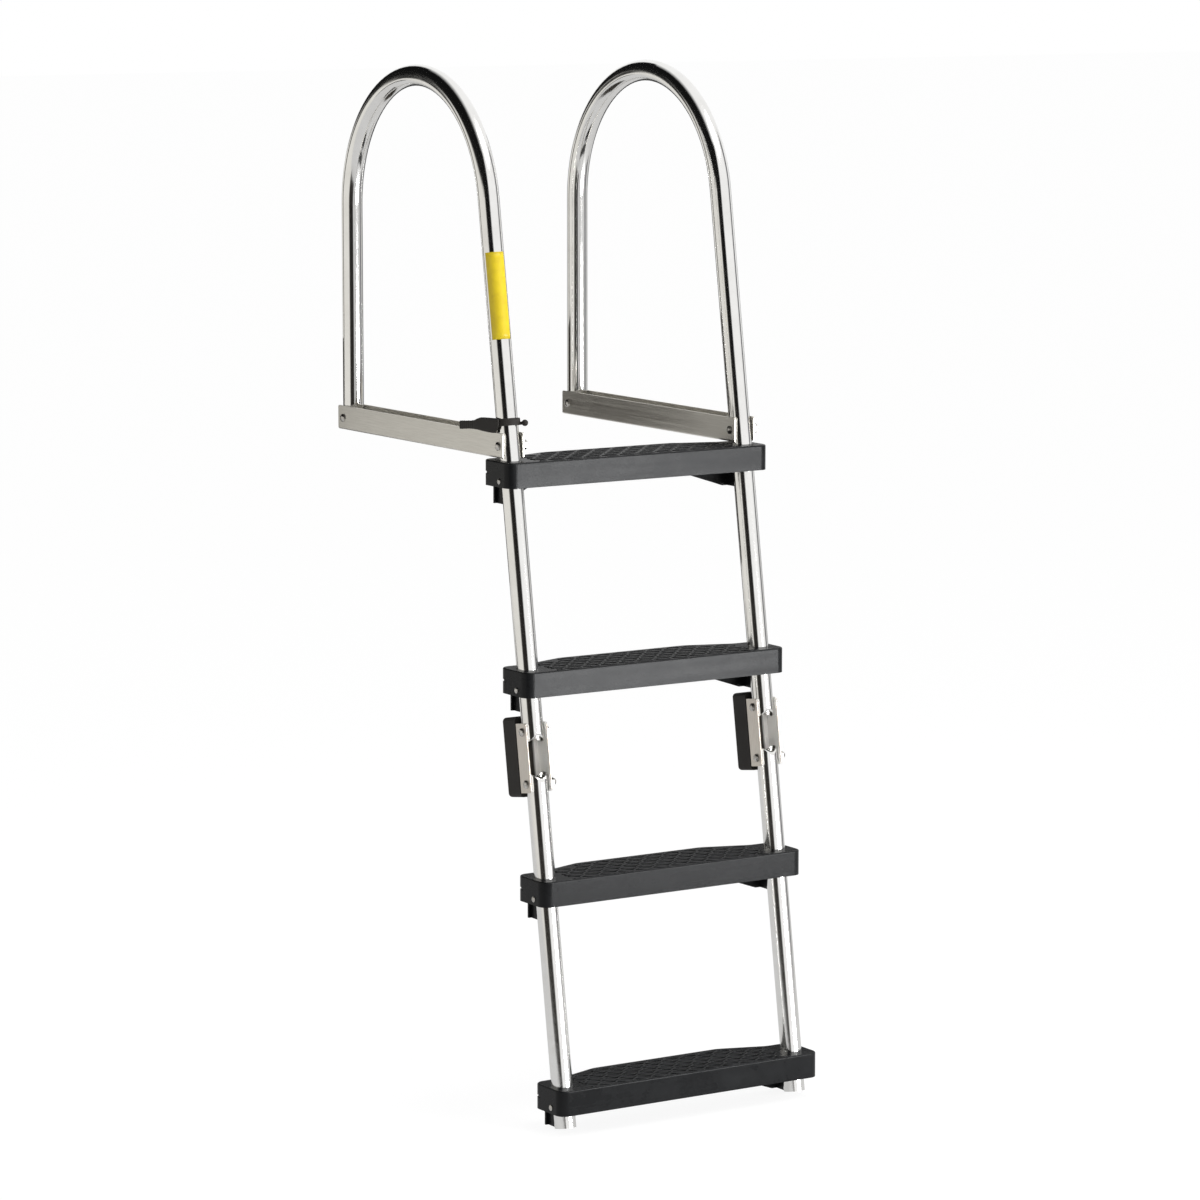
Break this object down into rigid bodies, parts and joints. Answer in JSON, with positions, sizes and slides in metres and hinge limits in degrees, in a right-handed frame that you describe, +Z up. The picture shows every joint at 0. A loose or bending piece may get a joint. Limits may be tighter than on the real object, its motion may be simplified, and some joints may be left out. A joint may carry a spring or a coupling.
{
  "type": "folding pontoon boat ladder",
  "caption": "Folding stainless boarding ladder with bent tube handrails, deck channels, moulded plastic treads, hinged lower section and rubber bumper pads.",
  "frame": {"origin": "on the underside of the left deck channel, midway between its two deck screw holes", "axes": "+Z up, +Y inboard over the deck, -Y towards the water, +X from the left side to the right side as seen from the water"},
  "size_m": [0.4664, 0.655, 1.5359],
  "materials": {
    "polished_tube": "mirror-polished stainless steel tube",
    "brushed_plate": "brushed stainless steel sheet",
    "fastener": "bright stainless steel fasteners",
    "tread_plastic": "black moulded plastic with a raised wave pattern",
    "rubber": "black moulded rubber"
  },
  "bodies": {
    "upper_section": {"handrail_tube_left": "polished_tube", "deck_channel_left": "brushed_plate", "front_channel_bolt_left": "fastener", "rear_channel_bolt_left": "fastener", "handrail_tube_right": "polished_tube", "deck_channel_right": "brushed_plate", "front_channel_bolt_right": "fastener", "rear_channel_bolt_right": "fastener", "tread_1": "tread_plastic", "tread_2": "tread_plastic", "tread_screws_1": "fastener", "tread_screws_2": "fastener", "stow_strap": "rubber", "strap_button": "rubber"},
    "hinge_links": {"hinge_channel_left": "brushed_plate", "bumper_pad_left": "rubber", "upper_hinge_bolt_left": "fastener", "lower_hinge_bolt_left": "fastener", "hinge_channel_right": "brushed_plate", "bumper_pad_right": "rubber", "upper_hinge_bolt_right": "fastener", "lower_hinge_bolt_right": "fastener"},
    "lower_section": {"lower_stringer_left": "polished_tube", "lower_stringer_right": "polished_tube", "tread_3": "tread_plastic", "tread_4": "tread_plastic", "tread_screws_3": "fastener", "tread_screws_4": "fastener"}
  },
  "joints": [
    {"name": "link_swing", "type": "hinge", "parent": "upper_section", "child": "hinge_links", "pos_m": [0.2032, -0.29289, -0.39518], "axis": [-1, 0, 0], "range_deg": [0, 90]},
    {"name": "lower_fold", "type": "hinge", "parent": "hinge_links", "child": "lower_section", "pos_m": [0.2032, -0.30454, -0.47049], "axis": [-1, 0, 0], "range_deg": [0, 90]}
  ]
}
